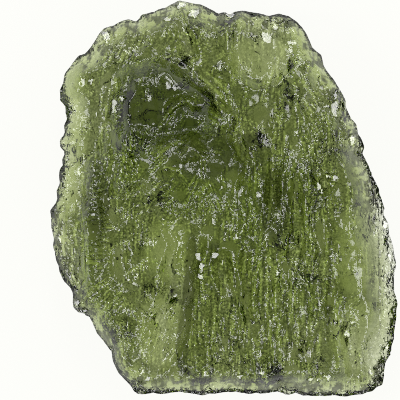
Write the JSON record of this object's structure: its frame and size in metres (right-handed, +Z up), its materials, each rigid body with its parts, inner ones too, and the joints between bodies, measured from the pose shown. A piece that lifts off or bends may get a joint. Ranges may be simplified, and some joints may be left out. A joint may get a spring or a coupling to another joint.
{
  "type": "moldavite",
  "caption": "Flat slab of see-through green natural glass with a ragged thin edge, deep gutters, ribs and pits, lying on a small flat spot.",
  "frame": {"origin": "on the surface that the stone lies on, under the middle of its bounding box seen from above", "axes": "+Y along the stone's longest side, towards its pointed top; +Z up through its thickness; +X to the right, towards the side with the thin lip"},
  "size_m": [0.0316, 0.036, 0.0094],
  "materials": {
    "moldavite_glass": "clear bottle green natural glass, darker where it is thick and almost colourless at its thin edge, with a glossy surface roughened by fine etched lines and pits"
  },
  "bodies": {
    "root": {"moldavite": "moldavite_glass"}
  },
  "joints": []
}
